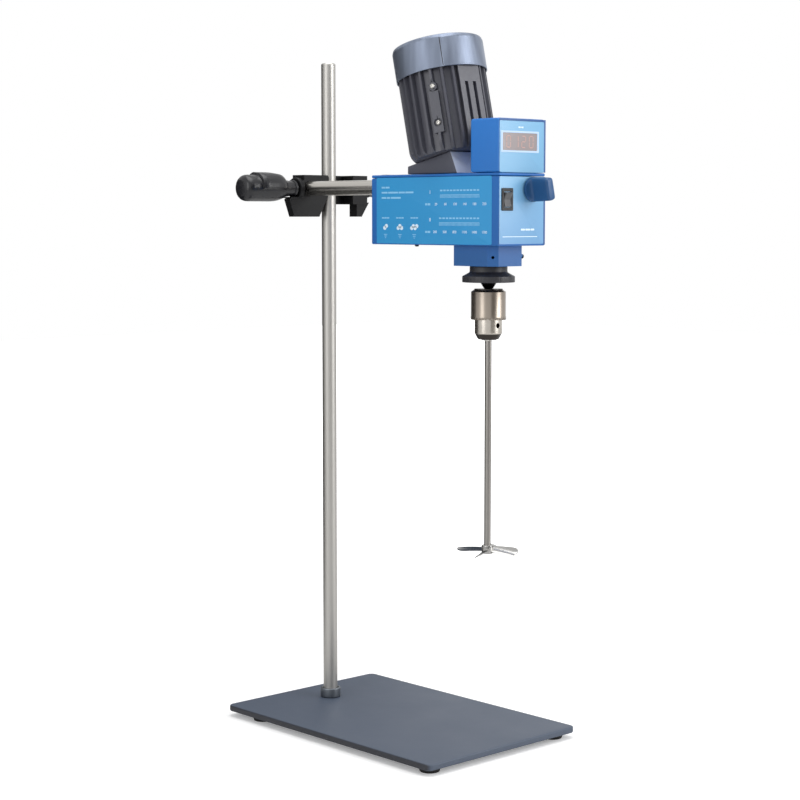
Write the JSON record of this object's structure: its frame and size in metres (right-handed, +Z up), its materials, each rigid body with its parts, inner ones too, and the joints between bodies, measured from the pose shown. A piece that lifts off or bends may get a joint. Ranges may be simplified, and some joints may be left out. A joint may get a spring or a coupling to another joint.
{
  "type": "overhead laboratory stirrer",
  "caption": "Overhead laboratory stirrer clamped to a plate stand: leaning finned motor on a drive head with display, speed knob, keyed chuck, shaft and propeller.",
  "frame": {"origin": "middle of the whole assembly's footprint box, on the plane its four feet stand on", "axes": "+Z up along the stand rod; -Y is the front, towards which the display and speed knob face; +X to the right as seen from the front"},
  "size_m": [0.2624, 0.4086, 0.7468],
  "materials": {
    "plate_coat": "fine matt slate-grey coat",
    "anthracite": "matt anthracite coat",
    "rubber_foot": "plain black rubber",
    "rod_steel": "ground stainless steel",
    "screw_steel": "turned steel",
    "black_casting": "satin black coat on a casting",
    "black_plastic": "black moulded plastic",
    "selector_black": "matt black plastic",
    "deep_blue_coat": "satin blue coat",
    "light_blue_coat": "satin light blue coat",
    "bezel": "pale plastic",
    "window": "red tinted window",
    "board": "green circuit board",
    "knob_blue": "dark blue moulded plastic",
    "bearing_steel": "ground bearing steel",
    "machined_steel": "machined steel",
    "bronze": "bearing bronze",
    "motor_casting": "dark charcoal coat on a finned casting",
    "cowl_sheet": "satin silver-blue sheet",
    "lamination": "stacked laminations",
    "friction_rubber": "hard friction rubber",
    "chuck_steel": "satin hardened steel",
    "stirrer_steel": "polished stainless steel"
  },
  "bodies": {
    "stand": {"base_plate": "plate_coat", "foot_front_left": "rubber_foot", "foot_front_right": "rubber_foot", "foot_rear_left": "rubber_foot", "foot_rear_right": "rubber_foot", "stand_rod": "rod_steel", "rod_collar": "rod_steel", "rod_bolt": "screw_steel"},
    "clamp": {"boss_head": "black_casting"},
    "arm_pad": {"arm_clamp_pad": "screw_steel"},
    "arm_screw": {"arm_clamp_screw": "screw_steel", "arm_clamp_knob": "black_plastic"},
    "rod_pad": {"rod_clamp_pad": "screw_steel"},
    "rod_screw": {"rod_clamp_screw": "screw_steel", "rod_clamp_knob": "black_plastic"},
    "head": {"extension_arm": "rod_steel", "main_housing": "deep_blue_coat", "top_plate": "deep_blue_coat", "cable_gland": "black_plastic", "front_panel": "light_blue_coat", "display_housing": "deep_blue_coat", "display_panel": "light_blue_coat", "window_bezel": "bezel", "display_window": "window", "display_board": "board", "switch_frame": "black_plastic", "gear_case": "deep_blue_coat", "spindle_bearing_lower": "bearing_steel", "bearing_plate": "machined_steel", "spindle_bearing_upper": "bearing_steel", "input_bearing": "bearing_steel", "speed_bush": "bronze"},
    "carriage": {"motor_carriage": "anthracite", "carriage_plate": "machined_steel", "motor_housing": "motor_casting", "motor_bearing_lower": "bearing_steel", "motor_bearing_upper": "bearing_steel", "stator_core": "lamination", "motor_end_shield": "motor_casting", "fan_cowl": "cowl_sheet"},
    "speed": {"speed_knob": "knob_blue", "speed_screw": "screw_steel"},
    "rotor": {"motor_shaft": "machined_steel", "rotor_core": "lamination", "cooling_fan": "black_plastic", "friction_cone": "machined_steel"},
    "input": {"pinion_shaft": "machined_steel", "friction_carrier": "machined_steel", "friction_ring": "friction_rubber"},
    "spindle": {"output_spindle": "machined_steel", "output_gear": "machined_steel", "chuck_body": "chuck_steel", "stirring_shaft": "stirrer_steel", "propeller": "stirrer_steel"},
    "sleeve": {"chuck_sleeve": "chuck_steel"},
    "jaw_1": {"chuck_jaw_1": "chuck_steel"},
    "jaw_2": {"chuck_jaw_2": "chuck_steel"},
    "jaw_3": {"chuck_jaw_3": "chuck_steel"},
    "selector": {"range_selector": "selector_black"},
    "rocker": {"switch_rocker": "black_plastic"}
  },
  "joints": [
    {"name": "clamp_height", "type": "slide", "parent": "stand", "child": "clamp", "axis": [0, 0, 1], "range_m": [-0.19, 0.11]},
    {"name": "arm_reach", "type": "slide", "parent": "clamp", "child": "head", "axis": [0, 1, 0], "range_m": [-0.014, 0.12]},
    {"name": "arm_pad_slide", "type": "slide", "parent": "clamp", "child": "arm_pad", "axis": [-1, 0, 0], "range_m": [0, 0.0045]},
    {"name": "arm_screw_turn", "type": "hinge", "parent": "arm_pad", "child": "arm_screw", "pos_m": [-0.044, 0.15335, 0.593], "axis": [-1, 0, 0], "range_deg": [0, 955]},
    {"name": "rod_pad_slide", "type": "slide", "parent": "clamp", "child": "rod_pad", "axis": [1, 0, 0], "range_m": [0, 0.0045]},
    {"name": "rod_screw_turn", "type": "hinge", "parent": "rod_pad", "child": "rod_screw", "pos_m": [0.006, 0.15335, 0.593], "axis": [1, 0, 0], "range_deg": [0, 955]},
    {"name": "carriage_slide", "type": "slide", "parent": "head", "child": "carriage", "axis": [0, 1, 0], "range_m": [-0.009, 0.004]},
    {"name": "speed_turn", "type": "hinge", "parent": "head", "child": "speed", "pos_m": [-0.023, -0.17765, 0.589], "axis": [0, -1, 0], "range_deg": [-812, 362]},
    {"name": "rotor_spin", "type": "hinge", "parent": "carriage", "child": "rotor", "pos_m": [-0.036, -0.08265, 0.6225], "axis": [0, 0.225, 0.9744], "continuous": true},
    {"name": "input_spin", "type": "hinge", "parent": "head", "child": "input", "pos_m": [-0.036, -0.11265, 0.533], "axis": [0, 0, 1], "continuous": true},
    {"name": "spindle_spin", "type": "hinge", "parent": "head", "child": "spindle", "pos_m": [-0.036, -0.13165, 0.514], "axis": [0, 0, 1], "continuous": true},
    {"name": "sleeve_turn", "type": "hinge", "parent": "spindle", "child": "sleeve", "pos_m": [-0.036, -0.13165, 0.459], "axis": [0, 0, 1], "range_deg": [0, 720]},
    {"name": "jaw_1_slide", "type": "slide", "parent": "spindle", "child": "jaw_1", "axis": [0, 0.2079, 0.9781], "range_m": [0, 0.003]},
    {"name": "jaw_2_slide", "type": "slide", "parent": "spindle", "child": "jaw_2", "axis": [-0.1801, -0.104, 0.9781], "range_m": [0, 0.003]},
    {"name": "jaw_3_slide", "type": "slide", "parent": "spindle", "child": "jaw_3", "axis": [0.1801, -0.104, 0.9781], "range_m": [0, 0.003]},
    {"name": "range_turn", "type": "hinge", "parent": "head", "child": "selector", "pos_m": [-0.036, -0.13165, 0.513], "axis": [0, 0, 1], "range_deg": [0, 50]},
    {"name": "switch_rock", "type": "hinge", "parent": "head", "child": "rocker", "pos_m": [-0.058, -0.17765, 0.579], "axis": [1, 0, 0], "range_deg": [-18, 0]}
  ],
  "couplings": [
    {"joint": "arm_pad_slide", "follows": "arm_screw_turn", "m_per_rad": 0.00023873},
    {"joint": "rod_pad_slide", "follows": "rod_screw_turn", "m_per_rad": 0.00023873},
    {"joint": "speed_turn", "follows": "carriage_slide", "rad_per_m": 1570.8},
    {"joint": "input_spin", "follows": "rotor_spin", "ratio": 0.22083},
    {"joint": "spindle_spin", "follows": "rotor_spin", "ratio": -0.10192},
    {"joint": "jaw_1_slide", "follows": "sleeve_turn", "m_per_rad": 0.00023873},
    {"joint": "jaw_2_slide", "follows": "sleeve_turn", "m_per_rad": 0.00023873},
    {"joint": "jaw_3_slide", "follows": "sleeve_turn", "m_per_rad": 0.00023873}
  ]
}
